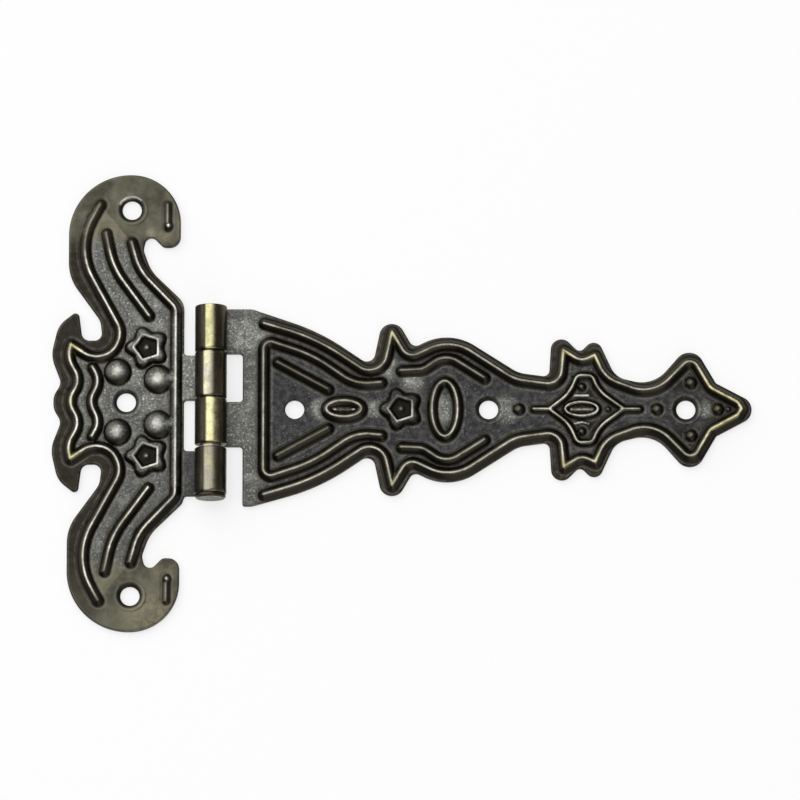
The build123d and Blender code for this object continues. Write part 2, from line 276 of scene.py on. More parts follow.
def rounded(path, closed=False, spacing=ARC_SPACING):
    """Points along a path, with its round corners as arcs."""
    points = [np.array(point, float) for point, _ in path]
    out = []
    for index, (_, radius) in enumerate(path):
        point = points[index]
        if radius == 0 or (not closed and index in (0, len(path) - 1)):
            out.append(point)
            continue
        before = unit(point - points[index - 1])
        after = unit(points[(index + 1) % len(points)] - point)
        turn = math.atan2(before[0] * after[1] - before[1] * after[0], before @ after)
        steps = max(ARC_STEPS, math.ceil(abs(turn) * radius / spacing))
        start = point - before * radius * math.tan(abs(turn) / 2)
        center = start + left(before) * math.copysign(radius, turn)
        arm = start - center
        for step in range(steps + 1):
            angle = turn * step / steps
            out.append(center + arm * math.cos(angle) + left(arm) * math.sin(angle))
    return np.array(out)


def subdivided(points, spacing):
    """A closed loop of points no further apart than the spacing."""
    out = []
    for start, end in zip(points, np.roll(points, -1, 0)):
        steps = max(1, math.ceil(np.hypot(*(end - start)) / spacing))
        for step in range(steps):
            out.append(start + (end - start) * step / steps)
    return np.array(out)


def line_distance(places, line, closed=False, reach=LINE_REACH):
    """Distance from each place to a line of points, as far as the reach."""
    order = np.argsort(places[:, 0], kind="stable")
    ordered = places[order]
    best = np.full(len(places), reach ** 2)
    ends = np.roll(line, -1, 0) if closed else line[1:]
    for start, end in zip(line, ends):
        along = end - start
        length = along @ along
        if length == 0:
            continue
        first = np.searchsorted(ordered[:, 0], min(start[0], end[0]) - reach)
        last = np.searchsorted(ordered[:, 0], max(start[0], end[0]) + reach)
        to_place = ordered[first:last] - start
        share = np.clip(to_place @ along / length, 0, 1)
        gap = to_place - share[:, None] * along
        best[first:last] = np.minimum(best[first:last], (gap ** 2).sum(1))
    out = np.empty(len(places))
    out[order] = np.sqrt(best)
    return out


def inside(places, loop):
    """Which places lie inside a closed loop."""
    order = np.argsort(places[:, 1], kind="stable")
    ordered = places[order]
    odd = np.zeros(len(places), bool)
    for (x0, y0), (x1, y1) in zip(loop, np.roll(loop, -1, 0)):
        if y0 == y1:
            continue
        first = np.searchsorted(ordered[:, 1], min(y0, y1), "left")
        last = np.searchsorted(ordered[:, 1], max(y0, y1), "left")
        level = ordered[first:last]
        odd[first:last] ^= level[:, 0] < x0 + (level[:, 1] - y0) * (x1 - x0) / (y1 - y0)
    out = np.empty(len(places), bool)
    out[order] = odd
    return out


def smooth(low, high, value):
    """A smooth step from 0 at the low end to 1 at the high end, which may be the lesser number."""
    share = np.clip((value - low) / (high - low), 0, 1)
    return share * share * (3 - 2 * share)


def stripe(distance, place, width):
    """A soft line at a place along a distance."""
    return np.exp(-((distance - place) / width) ** 2)


def radial(places, center):
    """Distance from each place to a centre."""
    return np.hypot(*(places - np.array(center)).T)


def spotted(places, spots):
    """The greatest share that any of the spots gives each place."""
    share = np.zeros(len(places))
    for center, radius, strength in spots:
        spot = strength * smooth(radius, SPOT_CORE * radius, radial(places, center))
        share = np.maximum(share, spot)
    return share


def polygon(center, radius, count, first_angle):
    """The corners of a regular polygon."""
    angles = first_angle + np.arange(count) * 2 * math.pi / count
    return np.array(center) + np.stack([np.cos(angles), np.sin(angles)], 1) * radius


def ellipse(center, half_length, half_width, count=96):
    """Points round an ellipse, anticlockwise."""
    angles = np.arange(count) * 2 * math.pi / count
    arms = np.stack([half_length * np.cos(angles), half_width * np.sin(angles)], 1)
    return np.array(center) + arms


class Relief:
    """The pressed height of a leaf's front above its flats, and the masks that the finish uses."""

    def __init__(self, places, brassy):
        self.places = places
        self.reach = CREST_REACH * (1 + BRASSY_SPREAD * spotted(places, brassy))
        self.height = np.zeros(len(places))
        self.crest = np.zeros(len(places))
        self.outside = np.full(len(places), FAR)
        self.pressed = np.zeros(len(places))
        self.top = np.zeros(len(places))
        self.pit = np.zeros(len(places))
        self.plain = np.zeros(len(places))
        self.pale = np.zeros(len(places))

    def raise_to(self, height, crest, outside, pressed=True):
        """Take up a form's height and bright crest. Only what is pressed shows on the back."""
        self.height = np.maximum(self.height, height)
        self.crest = np.maximum(self.crest, crest)
        if pressed:
            self.outside = np.minimum(self.outside, outside)
            self.pressed = np.maximum(self.pressed, height)

    def whiten(self, share):
        """Rub the form pale as a whole."""
        self.pale = np.maximum(self.pale, share)

    def ridge(self, line, half, height, closed=False, pressed=True, rub_and_glint=1.0):
        distance = line_distance(self.places, line, closed)
        share = np.clip(distance / half, 0, 1)
        bell = np.cos(share * math.pi / 2)
        self.raise_to(height * (RIDGE_ROUND * bell + RIDGE_POINTED * bell ** 2),
                      rub_and_glint * smooth(self.reach, CREST_CORE, distance), distance - half, pressed)
        self.top = np.maximum(self.top, smooth(*RIDGE_TOP, share))

    def dome(self, center, radius, height, rub_and_glint, pressed=True):
        distance = radial(self.places, center)
        share = np.clip(distance / radius, 0, 1)
        self.raise_to(height * (1 - share ** 2) ** DOME_POWER, rub_and_glint * smooth(*DOME_TOP, share),
                      distance - radius, pressed)

    def flower(self, center):
        """Five petals round a pit with a dot in it."""
        offset = self.places - np.array(center)
        distance = np.hypot(*offset.T)
        turn = np.arctan2(offset[:, 1], offset[:, 0]) - math.pi
        mean = (PETAL_RADIUS + PETAL_HOLLOW_RADIUS) / 2
        swing = (PETAL_RADIUS - PETAL_HOLLOW_RADIUS) / 2
        depth = mean + swing * np.cos(PETALS * turn) - distance
        brow = polygon(center, FLOWER_CREST_RADIUS, PETALS, math.pi)
        inward = np.where(inside(self.places, brow), 1, -1) * line_distance(self.places, brow, True)
        height = RIDGE_HEIGHT * np.sin(np.clip(depth / PETAL_SLOPE, 0, 1) * math.pi / 2)
        height = height - PIT_DEPTH * smooth(0, PIT_WALL, inward)
        crest = smooth(*FLOWER_CREST, np.abs(inward)) * (depth > FLOWER_CREST_DEPTH)
        self.raise_to(height, crest, -depth)
        petal = smooth(*PETAL_PLAIN, depth) * smooth(*PIT_OUTSIDE, inward)
        self.plain = np.maximum(self.plain, petal)
        dot = smooth(FLOWER_DOT_RADIUS, FLOWER_DOT_CORE, distance)
        pit = smooth(*PIT_INSIDE, inward) * (1 - FLOWER_DOT_LIGHT * dot)
        self.pit = np.maximum(self.pit, pit)
        self.dome(center, FLOWER_DOT_RADIUS, FLOWER_DOT_HEIGHT, FLOWER_DOT_WEAR, False)

    def moat(self):
        """A shallow crease round the foot of all that is raised."""
        return MOAT_DEPTH * stripe(self.outside, 0, MOAT_WIDTH)


# Where the zones of the finish set in, along X or Y, and the shares that they have
STRAP_ROOT = (13.0, 9.5)
STRAP_ROOT_PALE = 0.42
STRAP_MARGIN = (11.0, 13.0)
# Where the painted shade on the strap's upper crests sets in, across Y and short of the crown along
# X
UPPER_SIDE = (-1.0, 3.0)
BEFORE_CROWN = (74.0, 68.0)
TIP_START = (98.0, 100.0)
TIP_SIDES = (3.0, 5.0)
TIP_POINT = (106.5, 108.5)
UPPER_FACE = (29.0, 36.0)
LOWER_FACE = (-31.0, -36.0)
LOWER_FACE_FRONT = (-26.5, -24.0)
HEADS = (33.0, 38.0)
NAPE = (-23.0, -27.0)
NAPE_TOP = (-48.0, -40.0)
NAPE_DARK = 0.8
JAMB_MARGIN = (-6.5, -9.0)
# The jamb's field is painted paler along FIELD_SPAN towards the top: painted light falling from
# above
FIELD_SPAN = (-25.0, 25.0)
FIELD_PALE = 0.36
FIELD_PAINTED_LIGHT_RISE = 0.2
JAMB_ROOT = (-8.0, -6.2)
JAMB_ROOT_SPAN = (-12.0, -2.0)
JAMB_ROOT_PALE = 0.1
JAMB_ROOT_RISE = 0.7


def strap_relief(places):
    relief = Relief(places, strap_brassy)
    for paths, rub_and_glint in (([rim], RIM_WEAR), ([triangle], TRIANGLE_WEAR),
                        (both_sides([hump]), HUMP_WEAR), (both_sides([bar]), BAR_WEAR)):
        for path in paths:
            relief.ridge(rounded(path), RIDGE_HALF, RIDGE_HEIGHT, rub_and_glint=rub_and_glint)
    for path in both_sides([rhombus]) + spears:
        relief.ridge(rounded(path), FINE_HALF, FINE_HEIGHT)
    for path, half, height in slits + marks:
        relief.ridge(rounded(path), half, height, pressed=False, rub_and_glint=MARK_WEAR)
    for center, half_length, half_width, half, height in strap_ovals:
        relief.ridge(ellipse(center, half_length, half_width), half, height, closed=True)
    for center in strap_flowers:
        relief.flower(center)
    for center, radius, height in strap_dots:
        relief.dome(center, radius, height, DOT_WEAR)
    x, y = places.T
    # Painted shade: the strap's crests on the upper side, short of the crown, are painted duller
    relief.crest *= 1 - UPPER_PAINTED_SHADE * smooth(*UPPER_SIDE, y) * smooth(*BEFORE_CROWN, x)
    return relief


def jamb_relief(places):
    relief = Relief(places, jamb_brassy)
    for path in both_sides([neck, feather]) + [outer_wave, inner_wave, throat]:
        relief.ridge(rounded(path), RIDGE_HALF, RIDGE_HEIGHT)
    x, y = places.T
    upper_face = smooth(*UPPER_FACE, y)
    lower_face = smooth(*LOWER_FACE, y) * smooth(*LOWER_FACE_FRONT, x)
    relief.crest *= 1 - HEAD_DULL * np.maximum(upper_face, lower_face)
    # A painted highlight: a thin bright arc over the upper hole's rim, towards the upper left
    glint = ellipse(jamb_holes[0][0], GLINT_RADIUS, GLINT_RADIUS)[GLINT_SPAN]
    relief.ridge(glint, GLINT_HALF, GLINT_HEIGHT, pressed=False, rub_and_glint=GLINT_BRIGHTNESS)
    for path in both_sides([eye]):
        relief.ridge(rounded(path), FINE_HALF, EYE_HEIGHT, rub_and_glint=EYE_WEAR)
    for path in both_sides([bridge]):
        line = rounded(path)
        relief.ridge(line, BRIDGE_HALF, RIDGE_HEIGHT, rub_and_glint=0)
        relief.whiten(BRIDGE_PALE * smooth(*BRIDGE_TOP, line_distance(places, line) / BRIDGE_HALF))
    for center, radius, height in jamb_balls:
        relief.dome(center, radius, height, BALL_WEAR)
        relief.whiten(smooth(*BALL_TOP, radial(places, center) / radius))
    for line, share in pale_tops:
        away = line_distance(places, np.array(line)) / RIDGE_HALF
        relief.whiten(share * smooth(*PALE_TOP, away))
    for center in eye_curls:
        relief.dome(center, CURL_RADIUS, CURL_HEIGHT, CURL_WEAR, False)
    for center in jamb_flowers:
        relief.flower(center)
    return relief


def strap_zones(places):
    """Margin, head, pale, black and brassy shares of the strap's front."""
    x, y = places.T
    head = np.zeros(len(places))
    pale = np.maximum(STRAP_ROOT_PALE * smooth(*STRAP_ROOT, x), spotted(places, strap_rubbed))
    rhombus_loop = np.concatenate([rounded(rhombus), rounded(mirrored(rhombus))])
    black = inside(places, rhombus_loop).astype(float)
    black = np.maximum(black, smooth(*TIP_SIDES, np.abs(y)) * smooth(*TIP_START, x))
    black = np.maximum(black, smooth(*TIP_POINT, x))
    for center, half_length, half_width, *_ in (strap_ovals[0], strap_ovals[2]):
        black = np.maximum(black, inside(places, ellipse(center, half_length, half_width)))
    margin = np.where(inside(places, rounded(rim)), 0.0, 1.0) * smooth(*STRAP_MARGIN, x)
    return margin, head, pale, black, spotted(places, strap_brassy)


def jamb_zones(places):
    """Margin, head, pale, black and brassy shares of the jamb plate's front."""
    x, y = places.T
    black = np.zeros(len(places))
    nape = NAPE_DARK * smooth(*NAPE, x) * smooth(*NAPE_TOP, y) * (y < 0)
    head = smooth(*HEADS, np.abs(y)) * (1 - nape)
    field_loop = [rounded(throat)]
    for path in (mirrored(neck), outer_wave, neck):
        field_loop.append(rounded(path)[::-1])
    field = inside(places, np.concatenate(field_loop))
    margin = np.where(field, 0.0, 1.0) * smooth(*JAMB_MARGIN, x)
    # Painted light: the field is painted paler towards the top
    pale = np.where(field, FIELD_PALE + FIELD_PAINTED_LIGHT_RISE * smooth(*FIELD_SPAN, y), 0.0)
    root = JAMB_ROOT_PALE + JAMB_ROOT_RISE * smooth(*JAMB_ROOT_SPAN, y)
    pale = np.maximum(pale, smooth(*JAMB_ROOT, x) * root)
    # Rubbed pale spots, and the painted highlight at the chin
    pale = np.maximum(pale, spotted(places, jamb_rubbed_and_highlit))
    return margin, head, pale, black, spotted(places, jamb_brassy)


def tab_corners(edge, tops, shift):
    """The outlines of the tabs that roll into knuckles, from the first to the last."""
    end = -ROLL_LENGTH if edge > 0 else ROLL_LENGTH
    out = []
    for top in tops:
        high = top + shift
        low = high - KNUCKLE_LENGTH
        out.append([((edge, high), WINDOW_CORNER), ((end, high), TAB_CORNER),
                    ((end, low), TAB_CORNER), ((edge, low), WINDOW_CORNER)])
    return out


def strap_outline():
    first, third = tab_corners(STRAP_EDGE, (FIRST_TOP, THIRD_TOP), STRAP_DROP)
    path = [((STRAP_SHOULDER, BARREL_TOP + STRAP_DROP), STRAP_SHOULDER_ROUND)]
    path += strap_side_outline + [strap_tip] + mirrored(strap_side_outline)
    path += [((STRAP_SHOULDER, STRAP_ROOT_BOTTOM), STRAP_SHOULDER_ROUND),
             ((STRAP_EDGE, STRAP_ROOT_BOTTOM), STRAP_ROOT_ROUND)]
    return path + third[::-1] + first[::-1][:-1]


def jamb_outline():
    second, fourth = tab_corners(JAMB_EDGE, (SECOND_TOP, FOURTH_TOP), 0)
    upper = jamb_half + [((JAMB_EDGE, JAMB_SHOULDER), JAMB_UPPER_ROUND)]
    lower = [((JAMB_EDGE, -JAMB_SHOULDER), JAMB_LOWER_ROUND)] + mirrored(jamb_half)
    return upper + second + fourth + lower


def grid(low, high, spacing):
    """A staggered grid of points over a rectangle."""
    rows = np.arange(low[1], high[1], spacing * math.sqrt(3) / 2)
    out = []
    for index, y in enumerate(rows):
        xs = np.arange(low[0] + (index % 2) * spacing / 2, high[0], spacing)
        out.append(np.stack([xs, np.full(len(xs), y)], 1))
    return np.concatenate(out)


def loops_distance(places, loops):
    """Distance from each place to the nearest edge of a leaf."""
    return np.min([line_distance(places, loop, True, EDGE_REACH) for loop in loops], 0)


def side_mesh(loops, rings, spacing):
    """Points, triangles and edges of one side of a leaf. The loops' points come first."""
    outline = loops[0]
    places = grid(outline.min(0), outline.max(0), spacing)
    places = places[inside(places, outline)]
    clear = loops_distance(places, loops) > rings[-1] + spacing / 2
    in_hole = np.any([inside(places, loop) for loop in loops[1:]], 0)
    points = [np.concatenate(loops), places[clear & ~in_hole]]
    for ring in rings:
        for loop in loops:
            tangent = np.roll(loop, -1, 0) - np.roll(loop, 1, 0)
            tangent /= np.hypot(*tangent.T)[:, None]
            moved = loop + np.stack([tangent[:, 1], -tangent[:, 0]], 1) * ring
            moved = moved[loops_distance(moved, loops) > RING_CLEARANCE * ring]
            kept = np.unique(np.round(moved / MERGE), axis=0, return_index=True)[1]
            points.append(moved[np.sort(kept)])
    points = np.concatenate(points)
    edges = []
    start = 0
    for loop in loops:
        count = len(loop)
        edges += [(start + index, start + (index + 1) % count) for index in range(count)]
        start += count
    vectors = [Vector(point) for point in points]
    result = delaunay_2d_cdt(vectors, edges, [], 0, MESH_TOLERANCE)
    new_points = np.array([tuple(point) for point in result[0]])
    assert len(new_points) == len(points), "the outline's points merged"
    faces = np.array(result[2])
    middles = new_points[faces].mean(1)
    keep = inside(middles, outline)
    for loop in loops[1:]:
        keep &= ~inside(middles, loop)
    return new_points, faces[keep], edges


def clockwise(loop):
    """The loop, run clockwise."""
    following = np.roll(loop, -1, 0)
    area = (loop[:, 0] * following[:, 1] - following[:, 0] * loop[:, 1]).sum()
    return loop if area < 0 else loop[::-1]


def edge_drop(distance, radius):
    """How far a rounded edge falls below the face."""
    inner = np.clip(radius - distance, 0, radius)
    return radius - np.sqrt(radius ** 2 - inner ** 2)


def rolled(places, heights, side):
    """Leaf coordinates with the tabs rolled up round the pin."""
    along = side * places[:, 0]
    angle = np.clip(along, 0, None) / KNUCKLE_RADIUS
    radius = KNUCKLE_RADIUS - heights
    x = np.where(along > 0, side * radius * np.sin(angle), places[:, 0])
    z = np.where(along > 0, KNUCKLE_RADIUS - radius * np.cos(angle), heights)
    return np.stack([x, places[:, 1], z], 1)


def new_object(name, data):
    """A new object in the scene."""
    made = bpy.data.objects.new(name, data)
    bpy.context.scene.collection.objects.link(made)
    return made


# Masks of the finish. A line has its place along a distance and its width.
DISH_FULL = 2.5
DISH_DARK = (0.85, 0.45)
DISH_RIM_LINE = (1.0, 0.22)
SHADE_SLANT = (0.12, 0.5)
SHADE_FOOT = (0.3, -0.2)
HEAD_SOFT = 0.5
FOOT_LINE = (-0.08, 0.24)
SLOPE_FOOT = (0.15, -0.3)
PLAIN_LIGHT = 0.8
LIP_LINE = (0.45, 0.15)
EDGE_LINE = (0.3, 0.14)
EDGE_SHARE = 0.7
PIT_DARK = 0.7
ROLL_START = (-0.6, 0.8)
KNUCKLE_EDGE_LINE = (0, 0.25)
KNUCKLE_EDGE_SHARE = 0.7
BACK_MARGIN = 0.4
BACK_PALE = 0.3


class Sheet:
    """One pressed leaf, laid flat until its mesh is made. Its tabs lead off to the given side."""

    def __init__(self, path, holes, make_relief, side):
        outline = clockwise(subdivided(rounded(path, True, EDGE_SPACING), EDGE_SPACING))
        loops = [outline]
        for center, _ in holes:
            hole = ellipse(center, HOLE_RADIUS, HOLE_RADIUS, HOLE_POINTS)
            loops.append(clockwise(hole)[::-1])
        self.holes = holes
        self.side = side
        self.front, self.front_faces, self.edges = side_mesh(loops, EDGE_RINGS, FRONT_GRID)
        self.back, self.back_faces, _ = side_mesh(loops, (BACK_EDGE_ROUND,), BACK_GRID)
        self.relief = make_relief(self.front)
        self.pressed = make_relief(self.back).pressed
        self.front_gap = line_distance(self.front, outline, True, EDGE_REACH)
        self.back_gap = loops_distance(self.back, loops)

    def hole_gaps(self):
        """For each hole, the front's distance from its edge, and the depth of its dish."""
        return [(radial(self.front, center) - HOLE_RADIUS, dish) for center, dish in self.holes]

    def heights(self):
        """The heights of the front and of the back above the plane of the backs."""
        relief = self.relief
        top = SHEET + relief.height - relief.moat() - edge_drop(self.front_gap, EDGE_ROUND)
        for gap, dish in self.hole_gaps():
            fall = dish * np.clip(1 - gap / DISH_WIDTH, 0, 1) ** DISH_POWER
            top -= edge_drop(np.clip(gap, 0, None), HOLE_ROUND) + fall
            top += DISH_LIP * dish * stripe(gap, *DISH_LIP_LINE)
        hollow = np.clip(self.pressed - PRESS_START, 0, None)
        bottom = PRESS_DEPTH * hollow * smooth(*PRESS_EDGE, self.back_gap)
        bottom += edge_drop(self.back_gap, BACK_EDGE_ROUND)
        return top, bottom

    def mesh(self, name, shift):
        """The closed mesh of the sheet, with its tabs rolled up, moved down by the shift."""
        top, bottom = self.heights()
        places = np.concatenate([rolled(self.front, top, self.side),
                                 rolled(self.back, bottom, self.side)])
        places[:, 1] -= shift
        first_back = len(self.front)
        faces = [tuple(face) for face in self.front_faces]
        faces += [tuple(face[::-1] + first_back) for face in self.back_faces]
        faces += [(start, end, first_back + end, first_back + start) for start, end in self.edges]
        mesh = bpy.data.meshes.new(name)
        mesh.from_pydata((places * MM).tolist(), [], faces)
        edit = bmesh.new()
        edit.from_mesh(mesh)
        bmesh.ops.recalc_face_normals(edit, faces=edit.faces)
        edit.to_mesh(mesh)
        edit.free()
        mesh.shade_smooth()
        mesh.set_sharp_from_angle(angle=SHARP_ANGLE)
        return mesh

    def front_layers(self, downward, zones):
        """The front's masks, from its relief, its slant towards -Y, which gives the painted shade,
        and its zones.
        """
        relief = self.relief
        margin, head, pale, black, brassy = zones
        none = np.zeros(len(self.front))
        dished = none
        rims = none
        for gap, dish in self.hole_gaps():
            depth = np.clip(dish * DISH_FULL, 0, 1)
            dished = np.maximum(dished, depth * smooth(*DISH_DARK, gap))
            rims = np.maximum(rims, depth * stripe(gap, *DISH_RIM_LINE))
        soften = 1 - HEAD_SOFT * head
        foot = soften * stripe(relief.outside, *FOOT_LINE)
        dark = np.maximum(np.maximum(foot, dished), PIT_DARK * relief.pit)
        slope = soften * smooth(*SLOPE_FOOT, relief.outside) * (1 - relief.pale)
        slope *= (1 - PLAIN_LIGHT * relief.plain) * (1 - relief.pit)
        lip = stripe(relief.outside, *LIP_LINE)
        lip = np.maximum(lip, EDGE_SHARE * stripe(self.front_gap, *EDGE_LINE))
        lip = np.maximum(lip, rims) * (1 - (relief.height / RIDGE_HEIGHT).clip(0, 1))
        roll = smooth(*ROLL_START, self.side * self.front[:, 0])
        top = soften * relief.top * (1 - relief.pale)
        # Painted shade: raised slopes that face -Y, away from the key light, are painted darker
        shade = smooth(*SHADE_SLANT, downward) * smooth(*SHADE_FOOT, relief.outside)
        return {
            "masks": (relief.crest, dark, lip, roll),
            "zones": (margin * (1 - relief.pale), head, np.maximum(pale, relief.pale),
                      np.maximum(black, relief.pit)),
            "tints": (slope, brassy, none + FRONT_LEAN, top),
            "pits_and_painted_shade": (relief.pit, shade, none, none),
        }

    def back_layers(self, lower_top, turns, lower_highlight):
        """The back's masks. It is the barrel's outside, where the painted highlight band follows
        the lean.
        """
        bare = np.zeros(len(self.back))
        along = self.side * self.back[:, 0]
        roll = smooth(*ROLL_START, along)
        lower = self.back[:, 1] < lower_top + KNUCKLE_GAP
        lean = -self.side * (np.clip(along, 0, None) / KNUCKLE_RADIUS - math.pi)
        lean = np.where(lower, (lean - turns[1]) / LOWER_SPREAD, lean - turns[0])
        band_highlight = roll * np.where(lower, lower_highlight, 1)
        edge = KNUCKLE_EDGE_SHARE * roll * stripe(self.back_gap, *KNUCKLE_EDGE_LINE)
        return {
            "masks": (bare, bare, edge, roll),
            "zones": (bare + BACK_MARGIN, bare, bare + BACK_PALE, bare),
            "tints": (bare, bare, lean, band_highlight),
            "pits_and_painted_shade": (bare, bare, bare, bare),
        }


def leaf(name, sheet, zones_of, shift, lower_top, turns, lower_highlight):
    """A leaf's piece, with the masks of its finish as attributes.

    The lower knuckle lies below lower_top. The turns are how far the painted highlight bands of the
    upper and the lower knuckle are turned on, and the last argument sets how bright the lower band
    is.
    """
    mesh = sheet.mesh(name, shift)
    normals = np.empty(3 * len(mesh.vertices), np.float32)
    mesh.vertices.foreach_get("normal", normals)
    downward = -normals.reshape(-1, 3)[:len(sheet.front), 1]
    front_layers = sheet.front_layers(downward, zones_of(sheet.front))
    back_layers = sheet.back_layers(lower_top, turns, lower_highlight)
    for label, front_values in front_layers.items():
        values = np.concatenate([np.stack(front_values, 1), np.stack(back_layers[label], 1)])
        layer = mesh.attributes.new(label, "FLOAT_COLOR", "POINT")
        layer.data.foreach_set("color", values.astype(np.float32).ravel())
    return new_object(name, mesh)


class Nodes:
    """A short way to build a material's nodes."""

    def __init__(self, name):
        self.material = bpy.data.materials.new(name)
        self.material.use_nodes = True
        self.tree = self.material.node_tree
        self.shader = self.tree.nodes["Principled BSDF"]
        self.coords = self.tree.nodes.new("ShaderNodeTexCoord").outputs["Object"]

    def link(self, source, target):
        self.tree.links.new(source, target)

    def attribute(self, name):
        """The four channels of a layer of the mesh."""
        node = self.tree.nodes.new("ShaderNodeAttribute")
        node.attribute_name = name
        split = self.tree.nodes.new("ShaderNodeSeparateColor")
        self.link(node.outputs["Color"], split.inputs["Color"])
        channels = [split.outputs[label] for label in ("Red", "Green", "Blue")]
        return channels + [node.outputs["Alpha"]]

    def noise(self, scale, detail, roughness, stretch=None):
        node = self.tree.nodes.new("ShaderNodeTexNoise")
        node.inputs["Scale"].default_value = scale
        node.inputs["Detail"].default_value = detail
        node.inputs["Roughness"].default_value = roughness
        source = self.coords
        if stretch:
            mapping = self.tree.nodes.new("ShaderNodeMapping")
            mapping.inputs["Scale"].default_value = stretch
            self.link(source, mapping.inputs["Vector"])
            source = mapping.outputs["Vector"]
        self.link(source, node.inputs["Vector"])
        return node.outputs["Fac"]

    def span(self, value, low, high, to_low=0.0, to_high=1.0):
        """A smooth step from one range to another."""
        node = self.tree.nodes.new("ShaderNodeMapRange")
        node.interpolation_type = "SMOOTHSTEP"
        for label, number in (("From Min", low), ("From Max", high),
                              ("To Min", to_low), ("To Max", to_high)):
            node.inputs[label].default_value = number
        self.link(value, node.inputs["Value"])
        return node.outputs["Result"]

    def math(self, operation, first, second):
        node = self.tree.nodes.new("ShaderNodeMath")
        node.operation = operation
        node.use_clamp = True
        for socket, value in zip(node.inputs, (first, second)):
            if isinstance(value, (int, float)):
                socket.default_value = value
            else:
                self.link(value, socket)
        return node.outputs["Value"]

    def times(self, first, second):
        return self.math("MULTIPLY", first, second)

    def mix(self, share, first, second):
        """The first colour, with its share of the second over it."""
        node = self.tree.nodes.new("ShaderNodeMix")
        node.data_type = "RGBA"
        for label, value in (("Factor_Float", share), ("A_Color", first), ("B_Color", second)):
            socket = next(item for item in node.inputs if item.identifier == label)
            if isinstance(value, tuple):
                socket.default_value = (*value, 1)
            else:
                self.link(value, socket)
        return next(item for item in node.outputs if item.identifier == "Result_Color")

    def metal(self, color, roughness):
        self.link(color, self.shader.inputs["Base Color"])
        self.link(roughness, self.shader.inputs["Roughness"])
        self.shader.inputs["Metallic"].default_value = 1.0

    def bump(self, height, strength, distance):
        node = self.tree.nodes.new("ShaderNodeBump")
        node.inputs["Strength"].default_value = strength
        node.inputs["Distance"].default_value = distance
        self.link(height, node.inputs["Height"])
        self.link(node.outputs["Normal"], self.shader.inputs["Normal"])


# Colours of the finish
FLAT_DARK = (0.024, 0.024, 0.025)
FLAT_LIGHT = (0.073, 0.073, 0.074)
FLAT_PALE = (0.205, 0.21, 0.193)
PATCH = (0.42, 0.43, 0.36)
SPARKLE = (0.62, 0.63, 0.56)
MARGIN_DARK = (0.018, 0.0165, 0.0125)
MARGIN_LIGHT = (0.038, 0.035, 0.025)
HEAD_DARK = (0.054, 0.051, 0.036)
HEAD_LIGHT = (0.107, 0.105, 0.077)
HEAD_PALE = (0.26, 0.24, 0.16)
SLOPE = (0.043, 0.039, 0.027)
OLIVE = (0.08, 0.075, 0.055)
FOOT = (0.025, 0.0225, 0.0175)
BLACK = (0.018, 0.016, 0.0135)
PIT = (0.011, 0.01, 0.008)
BRASS = (0.78, 0.70, 0.37)
LIP = (0.17, 0.165, 0.14)
ROLL_DARK = (0.06, 0.051, 0.033)
ROLL_BROWN = (0.13, 0.113, 0.074)
# The roll colours are the barrel's painted highlight band, and the crest colours are the crests
# rubbed bright
STRAP_ROLL_HIGHLIGHT = (0.80, 0.765, 0.42)
STRAP_RUBBED_CREST = (0.66, 0.64, 0.54)
JAMB_ROLL_HIGHLIGHT = (0.585, 0.555, 0.455)
# The jamb's crest colour is also the colour of the painted highlight arc over the upper hole
JAMB_RUBBED_AND_GLINT_CREST = (0.92, 0.90, 0.80)
PIN_DARK = (0.34, 0.30, 0.20)
PIN_BRIGHT = (0.75, 0.72, 0.60)

# Noise: scale, detail, roughness and, where it is drawn out, the stretch
SPECK = (2300, 2.0, 0.6)
CLOUD = (160, 4.0, 0.6)
FINE = (700, 4.0, 0.65)
PATCHES = (380, 5.0, 0.65)
STREAK = (420, 4.0, 0.6, (1.0, 0.25, 1.0))
PIN_STREAK = (500, 4.0, 0.6, (1.0, 0.3, 1.0))
PIN_FINE = (1500, 3.0, 0.55)

# Spans of a noise or of the barrel's lean and, where they aren't 0 and 1, what they turn into
FLAT_GRAIN = (0.35, 0.75)
FLAT_FLECK = (0.56, 0.74)
FLAT_CLOUD = (0.35, 0.65, 0.1, 0.7)
PALE_FLECK = (0.3, 0.65, 0.35, 1.0)
PATCH_SPAN = (0.48, 0.68)
SPARKLE_FLECK = (0.57, 0.7, 0.0, 0.6)
MARGIN_GRAIN = (0.3, 0.7)
HEAD_CLOUD = (0.35, 0.65)
HEAD_GRAIN = (0.35, 0.7, 0.3, 1.0)
LIP_GRAIN = (0.3, 0.7, 0.1, 0.65)
TOP_GRAIN = (0.3, 0.7, 0.5, 1.0)
WEAR_GRAIN = (0.3, 0.65, 0.4, 1.0)
WEAR_CLOUD = (0.35, 0.62, 0.45, 1.0)
ROLL_STREAK = (0.4, 0.7)
ROLL_SHADE = (-0.8, 0.4, 0.65, 0.0)
BAND_STREAK = (0.35, 0.7, 1.0, 0.6)
BAND_GRAIN = (0.38, 0.58, 0.68, 1.0)
BAND_FLECK = (0.36, 0.5, 0.8, 1.0)
GILT_CLOUD = (0.42, 0.6, 0.0, 0.4)
ROUGHNESS = (0.3, 0.75, 0.4, 0.54)
PIN_GRAIN = (0.35, 0.65)
PIN_ROUGHNESS = (0.3, 0.7, 0.25, 0.42)

# Shares of the layers, and the strength and depth in metres of the bumps
PATCH_SHARE = 0.55
BLACK_SHARE = 0.85
SLOPE_SHARE = 0.9
DARK_SHARE = 0.85
SHADE_SHARE = 0.9
PIT_SHARE = 0.85
GLOSS = 0.14
SPECK_BUMP = (0.12, 0.00004)
PIN_BUMP = (0.1, 0.00003)


